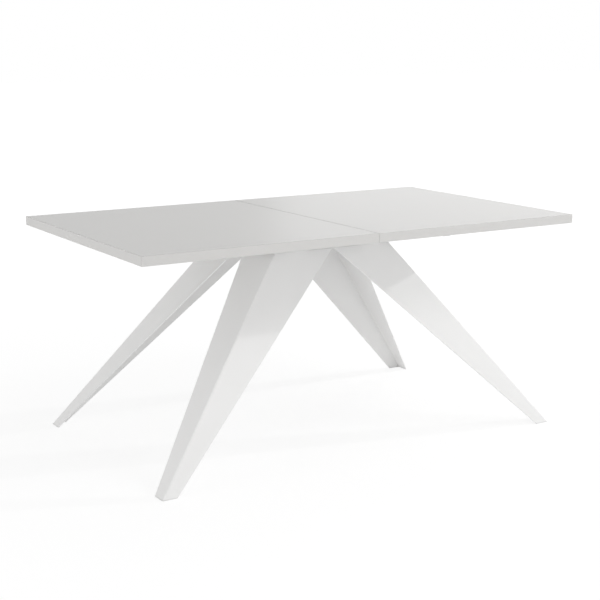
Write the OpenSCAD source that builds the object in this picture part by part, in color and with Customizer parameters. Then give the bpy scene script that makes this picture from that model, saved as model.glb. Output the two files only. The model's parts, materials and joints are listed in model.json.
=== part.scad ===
// Extendable dining table.
// Two top halves slide apart on ball runners, and a spare leaf lies lengthwise
// under them in a steel frame that is bolted to four folded sheet legs.
// Millimetres, +Z up. The origin is on the floor under the middle of the top.
// Left is -X, right is +X, front is -Y and back is +Y.

/* [Table top] */
// Length of the closed table top
top_len = 1640; // [1560:10:1900]
// Width of the table top
top_w = 950; // [900:10:1050]
// Thickness of the table top and of the leaf
top_t = 30; // [25:1:38]
// Height of the upper face above the floor
table_h = 750; // [720:5:780]
// Gap between the two closed halves
seam_gap = 0.9; // [0.4:0.1:1.2]
// Thickness of the edge bands
band_t = 1.5; // [1.2:0.1:2.5]
// Radius along the outer edges of the bands
band_round = 0.8; // [0.4:0.1:1]

/* [Spare leaf] */
// Width of the leaf, which the opened table gains
leaf_w = 400; // [340:10:430]
// Space between the stored leaf and the top above it
leaf_over = 3; // [2:0.5:5]
// Space between the stored leaf's dowels and the side rail
dowel_clear = 2; // [1:0.5:3]
// Space between the stored leaf and each side guide
leaf_side = 0.7; // [0.4:0.1:1.2]

/* [Dowels] */
// Radius of the dowels that line up the halves
dowel_r = 4; // [3:0.5:5]
// Length of a dowel that stands out of its edge
dowel_out = 10; // [7:1:12]
// Length of a dowel that sits in its panel
dowel_in = 20; // [15:1:30]
// Depth that a socket has to spare beyond the dowel that enters it
socket_spare = 3; // [1:0.5:5]
// Radial clearance of a dowel in the socket opposite
dowel_fit = 0.08; // [0.02:0.02:0.1]
// Distance between neighbouring dowels
dowel_pitch = 300; // [200:10:380]

/* [Legs] */
// Distance from the table's end to the outer corner of a foot
foot_inset_x = 56; // [40:1:90]
// Distance from the table's side to the outer corner of a foot
foot_inset_y = 20; // [10:1:50]
// Distance from the middle to the outer corner of a leg's head, along the table
head_x = 227; // [215:1:240]
// Distance from the middle to the outer corner of a leg's head, across the table
head_y = 209; // [200:1:216]
// Width at the floor of the flange that runs along the table
foot_arm_x = 51; // [40:1:70]
// Width at the floor of the flange that runs across the table
foot_arm_y = 53; // [40:1:70]
// Gap between the heads of neighbouring legs along the table
head_gap_x = 6; // [4:1:20]
// Gap between the heads of neighbouring legs across the table
head_gap_y = 30; // [4:1:40]
// Thickness of the folded sheet
sheet_t = 4; // [3:0.5:5]
// Outer radius of the fold
fold_r = 6; // [5.5:0.5:9]
// Thickness of the glides under the feet
glide_t = 3; // [2:0.5:5]

/* [Frame] */
// Thickness of the head plate on each leg
plate_t = 4; // [3:0.5:6]
// Length and width of a head plate
plate_size = 130; // [126:1:140]
// Distance from the middle to the middle of a cross rail
cross_x = 150; // [145:1:155]
// Width of the cross rails over the legs
cross_w = 80; // [76:1:90]
// Height of the cross rails
cross_h = 16; // [14:1:18]
// Wall of the steel tubes
tube_wall = 1.5; // [1.2:0.1:2]
// Width of the side rails
side_w = 20; // [18:1:24]
// Width of the rails at the frame's ends
end_w = 30; // [24:1:40]
// Space between the rails and the top above them
top_clear = 4; // [3:0.5:5]
// Thickness of the felt strips that the leaf slides on
felt_t = 1; // [0.8:0.1:2]
// Height of the leaf guides
guide_h = 9; // [6:0.5:10]
// Thickness of the stop at the leaf's inner end
stop_t = 3; // [2:0.5:5]

/* [Runners] */
// Distance from the frame's end to the end of a fixed channel
channel_setback = 25; // [20:1:40]
// Height of the fixed channels
channel_h = 40; // [36:1:42]
// Thickness of the rolled strip
strip_t = 1.2; // [1:0.1:1.4]
// Radius of the bearing balls
ball_r = 2.5; // [2:0.1:2.8]
// Clearance of the balls in their tracks
track_gap = 0.3; // [0.2:0.05:0.35]
// Thickness of the ball cages
cage_t = 0.6; // [0.5:0.1:0.8]
// Length of the ball cages
cage_len = 150; // [144:1:160]
// Distance between neighbouring balls
ball_pitch = 24; // [16:1:26]
// Number of balls in a row
ball_count = 6; // [4:1:6]
// Distance from the middle to the near end of a slider
slider_start = 20; // [15:1:30]
// Distance from a channel's end to the far end of a slider
slider_setback = 10; // [8:1:20]
// Distance between the inner screws of a channel
channel_screw_pitch = 60; // [50:5:65]
// Distance from a channel's end to its last screw
channel_screw_edge = 20; // [15:1:22]
// Travel of each half beyond what the leaf needs
travel_spare = 15; // [13:1:20]
// Thickness of the angle brackets
bracket_t = 2; // [1.5:0.5:2.5]
// Length of the angle brackets
bracket_len = 380; // [300:10:400]
// Width of the flange that is screwed to the top
bracket_flange = 25; // [20:1:30]

/* [Latches] */
// Distance from the table's side to the middle of a latch
latch_inset = 150; // [125:1:160]
// Distance from the seam to the latch's pivot
pivot_x = 40; // [36:1:50]
// Distance from the seam to the keeper's pin
keeper_x = 25; // [20:1:35]
// Thickness of the lever
lever_t = 3; // [2:0.5:3.5]
// Width of the lever
lever_w = 18; // [16:1:22]
// Radius of the pivot and of the keeper's pin
latch_pin_r = 4; // [3.5:0.5:4.5]
// Space between the lever and the plates above it
lever_drop = 3; // [2.5:0.5:4]
// Length of the lever past the keeper's pin
lever_nose = 12; // [10:1:18]
// Height of the finger tab under the lever's tip
tab_h = 6; // [4:1:10]
// Thickness of the finger tab
tab_t = 2; // [1.5:0.5:3]
// Thickness of the latch and keeper plates
latch_plate_t = 2; // [1.5:0.5:2.5]
// Length of a latch plate, along the table
latch_plate_len = 60; // [56:2:70]
// Width of a latch plate, across the table
latch_plate_w = 40; // [36:2:50]
// Length of a keeper plate, across the table
keeper_plate_len = 44; // [42:2:60]
// Width of a keeper plate, along the table
keeper_plate_w = 24; // [22:1:30]
// Distance from a plate's edges to its screws
plate_edge = 7; // [6:1:8]
// Overhang of a pin's head past the pin
pin_lip = 2.5; // [2:0.5:4]
// Overhang of a pin's shoulder past the pin
shoulder_lip = 3; // [2:0.5:4]

/* [Fasteners] */
// Radius of the wood screws
screw_r = 2; // [1.5:0.25:2.5]
// Overhang of a screw's head past its shank
screw_lip = 1.8; // [1.5:0.1:2]
// Thickness of a wood screw's head
screw_head_h = 2.2; // [1.5:0.1:2.5]
// Thickness of a channel screw's head
flat_head_h = 1.4; // [1:0.1:2]
// Depth that a wood screw reaches into the panel
screw_depth = 14; // [10:1:18]
// Radius of the leg bolts
bolt_r = 4; // [3:0.5:5]
// Radius over the corners of the bolt heads and nuts
hex_r = 7.5; // [6:0.1:9]
// Thickness of the bolt heads
bolt_head_h = 5.3; // [4:0.1:6]
// Thickness of the nuts
nut_h = 4.8; // [4:0.1:6.5]
// Distance between a leg's bolts along the table
bolt_pitch_x = 44; // [36:1:50]
// Distance between a leg's bolts across the table
bolt_pitch_y = 70; // [50:1:76]

/* [Hidden] */
$fn = 48;

white_board = [0.86, 0.86, 0.85];
white_paint = [0.9, 0.9, 0.9];
zinc = [0.72, 0.73, 0.75];
grey_nylon = [0.6, 0.6, 0.6];

fit = 0.05;            // radial clearance of a bolt, screw or pivot in its own hole
slip = 0.3;            // clearance between pieces that move past each other
hole_spare = 1;        // depth of a screw hole beyond the screw's tip
far = 5;               // overshoot of a cutting tool past the face it cuts

// Heights, from the top down to the heads of the legs.
under_z = table_h - top_t;
leaf_z = under_z - leaf_over - top_t;
felt_z = leaf_z - felt_t;
cross_z = felt_z - cross_h;
head_z = cross_z - plate_t;
rail_top = under_z - top_clear;
channel_z = rail_top - channel_h / 2;

// Plan sizes of the frame.
half_len = top_len / 2;
half_w = top_w / 2;
leaf_half = leaf_w / 2;
frame_half = half_w;
side_in = leaf_half + dowel_out + dowel_clear;
side_out = side_in + side_w;
half_travel = leaf_half + travel_spare;
channel_half = frame_half - channel_setback;

// Runner section: u runs outward from the side rail, v runs up from mid-height.
track_r = ball_r + track_gap;
hook_r = track_r + strip_t;
ball_v = channel_h / 2 - hook_r;
cage_u = strip_t + slip;
ball_u = cage_u + cage_t + slip + hook_r;
slider_u = ball_u + hook_r + 2 * slip;
slider_face = slider_u + strip_t;
hook_open = 15;        // angle by which a track stops short of the runner's mid-plane
slider_end = channel_half - slider_setback;
buffer_len = 6;
buffer_short = 2;      // by how much a buffer stops short of the slider
stop_len = 8;
stop_x = channel_half - buffer_len - slip - half_travel;
stop_u = cage_u + cage_t + 3 * slip;
cage_x = (slider_start + channel_half) / 2;
cage_lip = 1;          // width of the cage beyond the balls
bracket_x = (slider_start + slider_end) / 2;
bracket_y = side_out + slider_face;

// Latches, whose levers hang below plates on the underside of the top.
latch_y = half_w - latch_inset;
latch_plate_z = under_z - latch_plate_t;
lever_top = latch_plate_z - lever_drop;
lever_z = lever_top - lever_t;
pin_head_h = 2.2;
latch_reach = pivot_x + keeper_x;
lever_tip = latch_reach + lever_nose;
slot_angle = 20;       // angle over which the slot for the keeper's pin is open

// Leg geometry for the back right leg; the others are mirror images.
foot = [half_len - foot_inset_x, half_w - foot_inset_y, 0];
head = [head_x, head_y, head_z];
head_arm_x = head_x - head_gap_x / 2;
head_arm_y = head_y - head_gap_y / 2;
fold_len = norm(head - foot);
fold_dir = (head - foot) / fold_len;

function unit(v) = v / norm(v);
// The part of a direction that is square to the fold.
function square_to_fold(v) = unit(v - (v * fold_dir) * fold_dir);
arm_x_dir = square_to_fold([-1, 0, 0]);
arm_y_dir = square_to_fold([0, -1, 0]);
fold_angle = acos(arm_x_dir * arm_y_dir);
fold_start = fold_r / tan(fold_angle / 2);

corners = [[-1, -1], [1, -1], [-1, 1], [1, 1]];
dowel_rows = [-dowel_pitch, 0, dowel_pitch];

// ---------- Helpers ----------

// Mirrors its children from the back right quarter into the quarter named by two signs.
module quarter(sx, sy) {
    if (sx < 0 && sy < 0) rotate(180) children();
    else if (sx < 0) mirror([1, 0, 0]) children();
    else if (sy < 0) mirror([0, 1, 0]) children();
    else children();
}

// Puts its children into a frame given by two axes that are square to each other.
module in_axes(origin, a, b) {
    c = cross(a, b);
    multmatrix([
        [a[0], b[0], c[0], origin[0]],
        [a[1], b[1], c[1], origin[1]],
        [a[2], b[2], c[2], origin[2]],
        [0, 0, 0, 1]
    ]) children();
}

// Box between two corners.
module block(low, high) {
    translate(low) cube(high - low);
}

// Rectangular tube along Y.
module tube_y(x0, x1, z0, z1, half) {
    difference() {
        block([x0, -half, z0], [x1, half, z1]);
        block([x0 + tube_wall, -half - far, z0 + tube_wall],
              [x1 - tube_wall, half + far, z1 - tube_wall]);
    }
}

// Extrudes a runner section along X on the back side; u becomes Y, v becomes Z.
module along_runner(x0, x1) {
    translate([x0, side_out, channel_z])
        rotate([90, 0, 90]) linear_extrude(x1 - x0) children();
}

// Part of a ring between two angles.
module ring_part(r0, r1, a0, a1) {
    reach = 2 * r1;
    intersection() {
        difference() {
            circle(r1);
            circle(r0);
        }
        polygon([[0, 0], for (k = [0:3]) reach * [cos(a0 + k * (a1 - a0) / 3),
                                                  sin(a0 + k * (a1 - a0) / 3)]]);
    }
}

// ---------- Table top ----------

// Section of an edge band: its outer long edges are rounded.
module band_section() {
    flat = band_t - band_round;
    translate([0, band_round]) square([band_t, top_t - 2 * band_round]);
    square([flat, top_t]);
    for (y = [band_round, top_t - band_round]) intersection() {
        translate([flat, y]) circle(band_round);
        translate([flat, y - band_round]) square([band_round, 2 * band_round]);
    }
}

// Edge band whose back lies on x = face and whose outside looks along +X.
module band_along_y(face, half, z) {
    translate([face, half, z]) rotate([90, 0, 0]) linear_extrude(2 * half) band_section();
}

// Edge band whose back lies on y = face and whose outside looks along +Y.
module band_along_x(face, x0, x1, z) {
    translate([x0, face, z]) rotate([90, 0, 90]) linear_extrude(x1 - x0) band_section();
}

// Places of the wood screws of one half, as [x, y], for the back right quarter.
bracket_screws = [for (k = [-1.5:1:1.5])
    [bracket_x + k * bracket_len / 4, bracket_y + bracket_t + bracket_flange / 2]];
plate_screws = [for (sx = [-1, 1], sy = [-1, 1])
    [pivot_x + sx * (latch_plate_len / 2 - plate_edge), latch_y + sy * (latch_plate_w / 2 - plate_edge)]];
keeper_screws = [for (sy = [-1, 1]) [keeper_x, latch_y + sy * (keeper_plate_len / 2 - plate_edge)]];

function half_screws(latch_side) =
    concat(bracket_screws, latch_side ? plate_screws : keeper_screws);

// Right half's board. The left half is made from it by mirroring.
module half_board(latch_side, socket_r, socket_depth) {
    seam = seam_gap / 2 + band_t;
    difference() {
        block([seam, -half_w + band_t, under_z], [half_len - band_t, half_w - band_t, table_h]);
        for (y = dowel_rows) translate([seam - far, y, under_z + top_t / 2])
            rotate([0, 90, 0]) cylinder(r = socket_r, h = far + socket_depth - band_t);
        for (sy = [-1, 1], p = half_screws(latch_side)) translate([p[0], sy * p[1], under_z - far])
            cylinder(r = screw_r + fit, h = far + screw_depth + hole_spare);
    }
}

module seam_band(socket_r) {
    difference() {
        mirror([1, 0, 0]) band_along_y(-seam_gap / 2 - band_t, half_w - band_t, under_z);
        for (y = dowel_rows) translate([-far, y, under_z + top_t / 2])
            rotate([0, 90, 0]) cylinder(r = socket_r, h = 2 * far + band_t);
    }
}

module end_band() {
    band_along_y(half_len - band_t, half_w - band_t, under_z);
}

module side_bands() {
    for (sy = [-1, 1]) quarter(1, sy)
        band_along_x(half_w - band_t, seam_gap / 2, half_len, under_z);
}

module left_panel() {
    color(white_board) mirror([1, 0, 0]) half_board(true, dowel_r + fit, dowel_in);
}

module left_end_band() {
    color(white_board) mirror([1, 0, 0]) end_band();
}

module left_side_bands() {
    color(white_board) mirror([1, 0, 0]) side_bands();
}

module left_seam_band() {
    color(white_board) mirror([1, 0, 0]) seam_band(dowel_r + fit);
}

module right_panel() {
    color(white_board) half_board(false, dowel_r + dowel_fit, dowel_out + socket_spare);
}

module right_end_band() {
    color(white_board) end_band();
}

module right_side_bands() {
    color(white_board) side_bands();
}

module right_seam_band() {
    color(white_board) seam_band(dowel_r + dowel_fit);
}

// Dowel along +X that starts at x0, with a rounded nose.
module dowel(x0, len) {
    translate([x0, 0, 0]) rotate([0, 90, 0]) {
        cylinder(r = dowel_r, h = len - dowel_r / 2);
        translate([0, 0, len - dowel_r / 2])
            cylinder(r1 = dowel_r, r2 = dowel_r / 2, h = dowel_r / 2);
    }
}

module seam_dowels() {
    color("burlywood") for (y = dowel_rows) translate([0, y, under_z + top_t / 2])
        dowel(-seam_gap / 2 - dowel_in, dowel_in + dowel_out);
}

// ---------- Spare leaf, stored lengthwise with its dowels towards the back ----------

module leaf_panel() {
    color(white_board) difference() {
        block([-half_w + band_t, -leaf_half + band_t, leaf_z],
              [half_w - band_t, leaf_half - band_t, leaf_z + top_t]);
        for (x = dowel_rows) translate([x, 0, leaf_z + top_t / 2]) {
            translate([0, leaf_half - dowel_in, 0])
                rotate([-90, 0, 0]) cylinder(r = dowel_r + fit, h = dowel_in + far);
            translate([0, -leaf_half - far, 0])
                rotate([-90, 0, 0]) cylinder(r = dowel_r + dowel_fit, h = far + dowel_out + socket_spare);
        }
    }
}

module leaf_seam_bands() {
    color(white_board) difference() {
        for (sy = [-1, 1]) quarter(1, sy)
            band_along_x(leaf_half - band_t, -half_w + band_t, half_w - band_t, leaf_z);
        for (x = dowel_rows) translate([x, 0, leaf_z + top_t / 2]) {
            rotate([-90, 0, 0]) cylinder(r = dowel_r + fit, h = leaf_half + far);
            rotate([90, 0, 0]) cylinder(r = dowel_r + dowel_fit, h = leaf_half + far);
        }
    }
}

module leaf_end_bands() {
    color(white_board) for (sx = [-1, 1]) quarter(sx, 1)
        band_along_y(half_w - band_t, leaf_half, leaf_z);
}

module leaf_dowels() {
    color("burlywood") for (x = dowel_rows)
        translate([x, leaf_half - dowel_in, leaf_z + top_t / 2])
            rotate(90) dowel(0, dowel_in + dowel_out);
}

// ---------- Legs ----------

// One side of the fold, from the flange along the table round to the other one.
function fold_side(r, steps) = [for (k = steps)
    [fold_start, fold_r] + r * [cos(270 - k * (180 - fold_angle)), sin(270 - k * (180 - fold_angle))]];

// Section of the folded sheet, square to the fold: two flanges and the round fold.
module fold_section(arm) {
    turn_step = 1 / 8;
    across = [cos(fold_angle), sin(fold_angle)];
    polygon(concat(
        [[arm, 0]],
        fold_side(fold_r, [0:turn_step:1]),
        [arm * across, arm * across + sheet_t * [across[1], -across[0]]],
        fold_side(fold_r - sheet_t, [1:-turn_step:0]),
        [[arm, sheet_t]]
    ));
}

// Cuts a flange off beyond its free edge, which runs from low to high.
module free_edge_cut(arm_dir, low, high) {
    reach = head_x + head_y;
    a = [(low - foot) * arm_dir, (low - foot) * fold_dir];
    b = [(high - foot) * arm_dir, (high - foot) * fold_dir];
    step = (b - a) / 4;
    in_axes(foot, arm_dir, fold_dir) translate([0, 0, -5 * sheet_t])
        linear_extrude(10 * sheet_t) polygon([
            a - step,
            b + step,
            b + step + [reach, 0],
            a - step + [reach, 0]
        ]);
}

// Back right leg between two heights.
module folded_leg(z0, z1) {
    over = head_arm_x;
    intersection() {
        difference() {
            in_axes(foot - over * fold_dir, arm_x_dir, cross(fold_dir, arm_x_dir))
                linear_extrude(fold_len + 2 * over) fold_section(head_arm_x + far);
            free_edge_cut(arm_x_dir, foot - [foot_arm_x, 0, 0], head - [head_arm_x, 0, 0]);
            free_edge_cut(arm_y_dir, foot - [0, foot_arm_y, 0], head - [0, head_arm_y, 0]);
        }
        block([-far, -far, z0], [half_len, half_w, z1]);
    }
}

module leg(sx, sy) {
    color(white_paint) quarter(sx, sy) folded_leg(glide_t, head_z);
}

module foot_glides() {
    color(grey_nylon) for (c = corners) quarter(c[0], c[1]) folded_leg(0, glide_t);
}

bolt_spots = [for (sx = [-1, 1], sy = [-1, 1])
    [cross_x + sx * bolt_pitch_x / 2, head_y - plate_size / 2 + sy * bolt_pitch_y / 2]];

// Plate on the head of a leg, with its inner corner cut off.
module head_plate(sx, sy) {
    nip = plate_size / 3;
    color(white_paint) quarter(sx, sy) difference() {
        translate([head_x, head_y, head_z]) rotate(180) linear_extrude(plate_t) polygon([
            [0, 0],
            [plate_size, 0],
            [plate_size, plate_size - nip],
            [plate_size - nip, plate_size],
            [0, plate_size]
        ]);
        for (p = bolt_spots) translate([p[0], p[1], head_z - far])
            cylinder(r = bolt_r + slip, h = plate_t + 2 * far);
    }
}

module leg_bolts() {
    color(zinc) for (c = corners, p = bolt_spots) quarter(c[0], c[1])
        translate([p[0], p[1], head_z]) {
            translate([0, 0, -bolt_head_h]) cylinder(r = hex_r, h = bolt_head_h, $fn = 6);
            cylinder(r = bolt_r, h = plate_t + cross_h / 2 + tube_wall);
        }
}

module leg_nuts() {
    color(zinc) for (c = corners, p = bolt_spots) quarter(c[0], c[1])
        translate([p[0], p[1], cross_z + tube_wall]) difference() {
            cylinder(r = hex_r, h = nut_h, $fn = 6);
            translate([0, 0, -far]) cylinder(r = bolt_r + fit, h = nut_h + 2 * far);
        }
}

// ---------- Frame ----------

module cross_rail(sx) {
    color(white_paint) quarter(sx, 1) difference() {
        tube_y(cross_x - cross_w / 2, cross_x + cross_w / 2, cross_z, felt_z, side_out);
        for (sy = [-1, 1], p = bolt_spots) translate([p[0], sy * p[1], cross_z - far])
            cylinder(r = bolt_r + slip, h = far + 2 * tube_wall);
    }
}

module end_rail(sx) {
    color(white_paint) quarter(sx, 1)
        tube_y(frame_half - end_w, frame_half, cross_z, felt_z, side_out);
}

channel_screw_x = [for (sx = [-1, 1],
    x = [channel_screw_pitch, 2 * channel_screw_pitch, channel_half - channel_screw_edge]) sx * x];

module side_rail(sy) {
    color(white_paint) quarter(1, sy) difference() {
        block([-frame_half, side_in, felt_z], [frame_half, side_out, rail_top]);
        block([-frame_half - far, side_in + tube_wall, felt_z + tube_wall],
              [frame_half + far, side_out - tube_wall, rail_top - tube_wall]);
        for (x = channel_screw_x) translate([x, side_out - 2 * tube_wall, channel_z])
            rotate([-90, 0, 0]) cylinder(r = screw_r + fit, h = 2 * tube_wall + far);
    }
}

module leaf_guide(sy) {
    color(grey_nylon) quarter(1, sy)
        block([-channel_half, leaf_half + leaf_side, felt_z],
              [channel_half, side_in, felt_z + guide_h]);
}

module felt_strips() {
    margin = 5;
    color("dimgray") for (sx = [-1, 1]) quarter(sx, 1) {
        block([cross_x - cross_w / 2 + margin, -leaf_half + 4 * margin, felt_z],
              [cross_x + cross_w / 2 - margin, leaf_half - 4 * margin, leaf_z]);
        block([frame_half - end_w + margin, -leaf_half + 4 * margin, felt_z],
              [frame_half - margin, leaf_half - 4 * margin, leaf_z]);
    }
}

// Upright plate on the right end rail that the stored leaf is pushed against.
module leaf_stop() {
    color(zinc) block([frame_half, -leaf_half / 4, cross_z + tube_wall],
                      [frame_half + stop_t, leaf_half / 4, leaf_z + top_t / 2]);
}

// ---------- Ball runners ----------

module channel_section() {
    for (s = [-1, 1]) mirror([0, s < 0 ? 1 : 0]) {
        square([strip_t, channel_h / 2]);
        translate([0, channel_h / 2 - strip_t]) square([ball_u, strip_t]);
        translate([ball_u, ball_v]) ring_part(track_r, hook_r, hook_open, 90);
    }
}

module slider_section() {
    for (s = [-1, 1]) mirror([0, s < 0 ? 1 : 0]) {
        translate([slider_u, 0]) square([strip_t, ball_v - track_r]);
        translate([ball_u, ball_v - hook_r]) square([slider_face - ball_u, strip_t]);
        translate([ball_u, ball_v]) ring_part(track_r, hook_r, 180 + hook_open, 270);
    }
}

module cage_section() {
    reach = ball_u + ball_r + cage_lip;
    for (s = [-1, 1]) mirror([0, s < 0 ? 1 : 0]) {
        translate([cage_u, 0]) square([cage_t, ball_v + cage_t / 2]);
        translate([cage_u, ball_v - cage_t / 2]) square([reach - cage_u, cage_t]);
    }
}

ball_x = [for (k = [0:ball_count - 1]) cage_x + (k - (ball_count - 1) / 2) * ball_pitch];

module channel(sy) {
    color(zinc) quarter(1, sy) difference() {
        along_runner(-channel_half, channel_half) channel_section();
        for (x = channel_screw_x) translate([x, side_out - far, channel_z])
            rotate([-90, 0, 0]) cylinder(r = screw_r + fit, h = 2 * far);
    }
}

module channel_screws() {
    thread_len = strip_t + 5 * tube_wall;
    color(zinc) for (sy = [-1, 1], x = channel_screw_x) quarter(1, sy)
        translate([x, side_out + strip_t, channel_z]) rotate([-90, 0, 0]) {
            cylinder(r = screw_r + screw_lip, h = flat_head_h);
            translate([0, 0, -thread_len]) cylinder(r = screw_r, h = thread_len);
        }
}

module end_buffers() {
    color("dimgray") for (c = corners) quarter(c[0], c[1])
        along_runner(channel_half - buffer_len, channel_half)
            translate([strip_t, -channel_h / 5])
                square([slider_u - buffer_short - strip_t, 2 * channel_h / 5]);
}

// Slider with the tab that meets the end buffer when the half is fully out.
module slider(sx, sy) {
    color(zinc) quarter(sx, sy) {
        along_runner(slider_start, slider_end) slider_section();
        along_runner(stop_x - stop_len, stop_x)
            translate([stop_u, -channel_h / 8]) square([slider_u - stop_u, channel_h / 4]);
    }
}

module cage(sx, sy) {
    color("goldenrod") quarter(sx, sy) difference() {
        along_runner(cage_x - cage_len / 2, cage_x + cage_len / 2) cage_section();
        for (x = ball_x) translate([x, side_out + ball_u, channel_z - channel_h])
            cylinder(r = ball_r + fit, h = 2 * channel_h);
    }
}

module balls(sx) {
    color("silver") for (sy = [-1, 1], x = ball_x, sv = [-1, 1]) quarter(sx, sy)
        translate([x, side_out + ball_u, channel_z + sv * ball_v]) sphere(ball_r);
}

// Angle that carries a half of the top on its slider.
module bracket(sx, sy) {
    x0 = bracket_x - bracket_len / 2;
    color(zinc) quarter(sx, sy) difference() {
        union() {
            block([x0, bracket_y, channel_z - ball_v + hook_r],
                  [x0 + bracket_len, bracket_y + bracket_t, under_z]);
            block([x0, bracket_y, under_z - bracket_t],
                  [x0 + bracket_len, bracket_y + bracket_t + bracket_flange, under_z]);
        }
        for (p = bracket_screws) translate([p[0], p[1], under_z - bracket_t - far])
            cylinder(r = screw_r + slip, h = bracket_t + 2 * far);
    }
}

// Wood screw whose head bears on a face at height z.
module wood_screw(z) {
    half_head = screw_head_h / 2;
    translate([0, 0, z - screw_head_h]) cylinder(r = screw_r + screw_lip, h = screw_head_h);
    translate([0, 0, z - half_head]) cylinder(r = screw_r, h = under_z + screw_depth - z + half_head);
}

module half_screw_set(sx, latch_side) {
    color(zinc) for (sy = [-1, 1]) quarter(sx, sy) {
        for (p = bracket_screws) translate([p[0], p[1], 0]) wood_screw(under_z - bracket_t);
        for (p = latch_side ? plate_screws : keeper_screws)
            translate([p[0], p[1], 0]) wood_screw(latch_plate_z);
    }
}

// ---------- Latches ----------

// Plate on the underside of the top, with holes for its screws.
module screwed_plate(x, len_x, len_y, screws) {
    difference() {
        block([x - len_x / 2, latch_y - len_y / 2, latch_plate_z],
              [x + len_x / 2, latch_y + len_y / 2, under_z]);
        for (p = screws) translate([p[0], p[1], latch_plate_z - far])
            cylinder(r = screw_r + slip, h = latch_plate_t + 2 * far);
    }
}

// Headed pin under a plate: the lever runs between its head and its shoulder.
module headed_pin(x) {
    head_z = lever_z - slip - pin_head_h;
    translate([x, latch_y, head_z]) {
        cylinder(r = latch_pin_r + pin_lip, h = pin_head_h);
        cylinder(r = latch_pin_r, h = latch_plate_z - head_z);
    }
    translate([x, latch_y, lever_top + slip])
        cylinder(r = latch_pin_r + shoulder_lip, h = lever_drop - slip);
}

module latch_plates() {
    color(zinc) for (sy = [-1, 1]) quarter(-1, sy)
        screwed_plate(pivot_x, latch_plate_len, latch_plate_w, plate_screws);
}

module latch_pivots() {
    color(zinc) for (sy = [-1, 1]) quarter(-1, sy) headed_pin(pivot_x);
}

module latch_keepers() {
    color(zinc) for (sy = [-1, 1]) quarter(1, sy) {
        screwed_plate(keeper_x, keeper_plate_w, keeper_plate_len, keeper_screws);
        headed_pin(keeper_x);
    }
}

// Outline of the lever in its open place: it points away from the middle of the
// table, and the slot that takes the keeper's pin opens on the side that leads.
module lever_outline() {
    slot_r = latch_pin_r + slip;
    corner_r = lever_w / 4;
    difference() {
        union() {
            circle(lever_w / 2 + shoulder_lip);
            translate([-lever_w / 2, 0]) square([lever_w, lever_tip - corner_r]);
            translate([-corner_r, 0]) square([2 * corner_r, lever_tip]);
            for (s = [-1, 1]) translate([s * corner_r, lever_tip - corner_r]) circle(corner_r);
        }
        circle(latch_pin_r + fit);
        translate([0, latch_reach]) circle(slot_r);
        ring_part(latch_reach - slot_r, latch_reach + slot_r, 90 - slot_angle, 90);
    }
}

// Lever with a finger tab at its tip.
module latch_lever(sy) {
    half_tab = lever_w / 4;
    color("dimgray") quarter(-1, sy) translate([pivot_x, latch_y, 0]) {
        translate([0, 0, lever_z]) linear_extrude(lever_t) mirror([1, 0]) lever_outline();
        block([-half_tab, lever_tip - tab_t, lever_z - tab_h], [half_tab, lever_tip, lever_z + lever_t / 2]);
    }
}

left_panel();
left_end_band();
left_side_bands();
left_seam_band();
right_panel();
right_end_band();
right_side_bands();
right_seam_band();
leaf_panel();
leaf_seam_bands();
leaf_end_bands();
seam_dowels();
leaf_dowels();
leg(-1, -1);  // leg_front_left
leg(1, -1);  // leg_front_right
leg(-1, 1);  // leg_back_left
leg(1, 1);  // leg_back_right
head_plate(-1, -1);  // head_plate_front_left
head_plate(1, -1);  // head_plate_front_right
head_plate(-1, 1);  // head_plate_back_left
head_plate(1, 1);  // head_plate_back_right
foot_glides();
leg_bolts();
leg_nuts();
cross_rail(-1);  // cross_rail_left
cross_rail(1);  // cross_rail_right
end_rail(-1);  // end_rail_left
end_rail(1);  // end_rail_right
side_rail(-1);  // side_rail_front
side_rail(1);  // side_rail_back
leaf_guide(-1);  // leaf_guide_front
leaf_guide(1);  // leaf_guide_back
felt_strips();
leaf_stop();
channel(-1);  // channel_front
channel(1);  // channel_back
channel_screws();
end_buffers();
slider(-1, -1);  // slider_front_left
slider(1, -1);  // slider_front_right
slider(-1, 1);  // slider_back_left
slider(1, 1);  // slider_back_right
cage(-1, -1);  // cage_front_left
cage(1, -1);  // cage_front_right
cage(-1, 1);  // cage_back_left
cage(1, 1);  // cage_back_right
balls(-1);  // balls_left
balls(1);  // balls_right
bracket(-1, -1);  // bracket_front_left
bracket(1, -1);  // bracket_front_right
bracket(-1, 1);  // bracket_back_left
bracket(1, 1);  // bracket_back_right
half_screw_set(-1, true);  // left_screws
half_screw_set(1, false);  // right_screws
latch_plates();
latch_pivots();
latch_lever(-1);  // latch_lever_front
latch_lever(1);  // latch_lever_back
latch_keepers();
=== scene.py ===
"""Finishes, fine details and studio for an extendable dining table."""

import json
import math

import bmesh
import bpy
from mathutils import Matrix, Vector

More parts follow.
